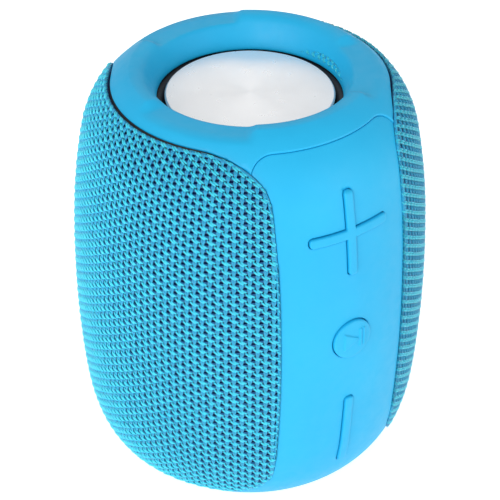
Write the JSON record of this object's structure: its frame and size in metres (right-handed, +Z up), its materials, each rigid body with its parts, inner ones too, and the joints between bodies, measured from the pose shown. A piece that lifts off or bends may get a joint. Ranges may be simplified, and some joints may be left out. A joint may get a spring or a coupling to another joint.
{
  "type": "portable bluetooth speaker",
  "caption": "Barrel-shaped portable speaker with cloth flanks, silicone rings and key strips, side drivers, a passive radiator in each end and a port flap.",
  "frame": {"origin": "centre of the flat that the barrel stands on", "axes": "+Z up the barrel, -Y out of the front key strip, +X to the right of the front"},
  "size_m": [0.09, 0.0906, 0.1112],
  "materials": {
    "silicone": "satin",
    "cloth": "woven",
    "black_plastic": "matte",
    "black_rubber": "satin",
    "spun_aluminium": "spun",
    "weight_steel": "plated",
    "basket_steel": "satin",
    "ferrite": "ground",
    "copper": "enamelled wire",
    "cone_paper": "pressed paper",
    "spider_cloth": "treated cloth",
    "circuit_board": "solder mask",
    "chip_black": "moulded",
    "switch_metal": "pressed",
    "socket_steel": "pressed",
    "screw_steel": "zinc plated",
    "cell_wrap": "shrink wrap",
    "clear_plastic": "frosted"
  },
  "bodies": {
    "case": {"top_silicone_ring": "silicone", "silicone_base_and_strips": "silicone", "left_cloth_panel": "cloth", "right_cloth_panel": "cloth", "left_grille_cage": "black_plastic", "right_grille_cage": "black_plastic", "chamber_barrel": "black_plastic", "top_crown_frame": "black_plastic", "bottom_crown_frame": "black_plastic", "button_board": "circuit_board", "main_board": "circuit_board", "port_board": "circuit_board", "tact_switches": "switch_metal", "main_board_components": "chip_black", "board_screws": "screw_steel", "status_light_pipe": "clear_plastic", "microphone": "switch_metal", "battery_cell": "cell_wrap", "battery_cradle": "black_plastic", "port_bay_plate": "black_plastic", "charging_socket": "socket_steel", "aux_jack": "chip_black", "card_slot": "socket_steel", "top_passive_radiator_surround": "black_rubber", "top_passive_radiator_clamp": "black_plastic", "top_crown_screws": "screw_steel", "bottom_passive_radiator_surround": "black_rubber", "bottom_passive_radiator_clamp": "black_plastic", "bottom_crown_screws": "screw_steel", "left_driver_gasket": "black_rubber", "left_driver_basket": "basket_steel", "left_driver_magnet": "ferrite", "left_driver_yoke": "weight_steel", "left_driver_spider": "spider_cloth", "left_driver_surround": "black_rubber", "left_driver_screws": "screw_steel", "right_driver_gasket": "black_rubber", "right_driver_basket": "basket_steel", "right_driver_magnet": "ferrite", "right_driver_yoke": "weight_steel", "right_driver_spider": "spider_cloth", "right_driver_surround": "black_rubber", "right_driver_screws": "screw_steel"},
    "volume_up": {"volume_up_key": "silicone"},
    "play_pause": {"play_pause_key": "silicone"},
    "volume_down": {"volume_down_key": "silicone"},
    "power": {"power_key": "silicone"},
    "pairing": {"pairing_key": "silicone"},
    "flap": {"port_flap": "silicone"},
    "top_radiator": {"top_passive_radiator_disc": "spun_aluminium", "top_passive_radiator_carrier": "black_plastic", "top_passive_radiator_weight": "weight_steel"},
    "bottom_radiator": {"bottom_passive_radiator_disc": "spun_aluminium", "bottom_passive_radiator_carrier": "black_plastic", "bottom_passive_radiator_weight": "weight_steel"},
    "left_cone": {"left_driver_cone": "cone_paper", "left_driver_voice_coil": "copper"},
    "right_cone": {"right_driver_cone": "cone_paper", "right_driver_voice_coil": "copper"}
  },
  "joints": [
    {"name": "volume_up_press", "type": "slide", "parent": "case", "child": "volume_up", "axis": [0, 1, 0], "range_m": [0, 0.0006], "stiffness_N_per_m": 1500},
    {"name": "play_pause_press", "type": "slide", "parent": "case", "child": "play_pause", "axis": [0, 1, 0], "range_m": [0, 0.0006], "stiffness_N_per_m": 1500},
    {"name": "volume_down_press", "type": "slide", "parent": "case", "child": "volume_down", "axis": [0, 1, 0], "range_m": [0, 0.0006], "stiffness_N_per_m": 1500},
    {"name": "power_press", "type": "slide", "parent": "case", "child": "power", "axis": [0, -1, 0], "range_m": [0, 0.0006], "stiffness_N_per_m": 1500},
    {"name": "pairing_press", "type": "slide", "parent": "case", "child": "pairing", "axis": [0, -1, 0], "range_m": [0, 0.0006], "stiffness_N_per_m": 1500},
    {"name": "flap_hinge", "type": "hinge", "parent": "case", "child": "flap", "pos_m": [0, 0.0417, 0.0155], "axis": [-1, 0, 0], "range_deg": [0, 110]},
    {"name": "top_radiator_stroke", "type": "slide", "parent": "case", "child": "top_radiator", "axis": [0, 0, 1], "range_m": [-0.0015, 0.0015], "stiffness_N_per_m": 600, "deforming": ["top_passive_radiator_surround"]},
    {"name": "bottom_radiator_stroke", "type": "slide", "parent": "case", "child": "bottom_radiator", "axis": [0, 0, 1], "range_m": [-0.0015, 0.0015], "stiffness_N_per_m": 600, "deforming": ["bottom_passive_radiator_surround"]},
    {"name": "left_cone_stroke", "type": "slide", "parent": "case", "child": "left_cone", "axis": [-1, 0, 0], "range_m": [-0.0015, 0.0015], "stiffness_N_per_m": 1000, "deforming": ["left_driver_surround", "left_driver_spider"]},
    {"name": "right_cone_stroke", "type": "slide", "parent": "case", "child": "right_cone", "axis": [1, 0, 0], "range_m": [-0.0015, 0.0015], "stiffness_N_per_m": 1000, "deforming": ["right_driver_surround", "right_driver_spider"]}
  ]
}
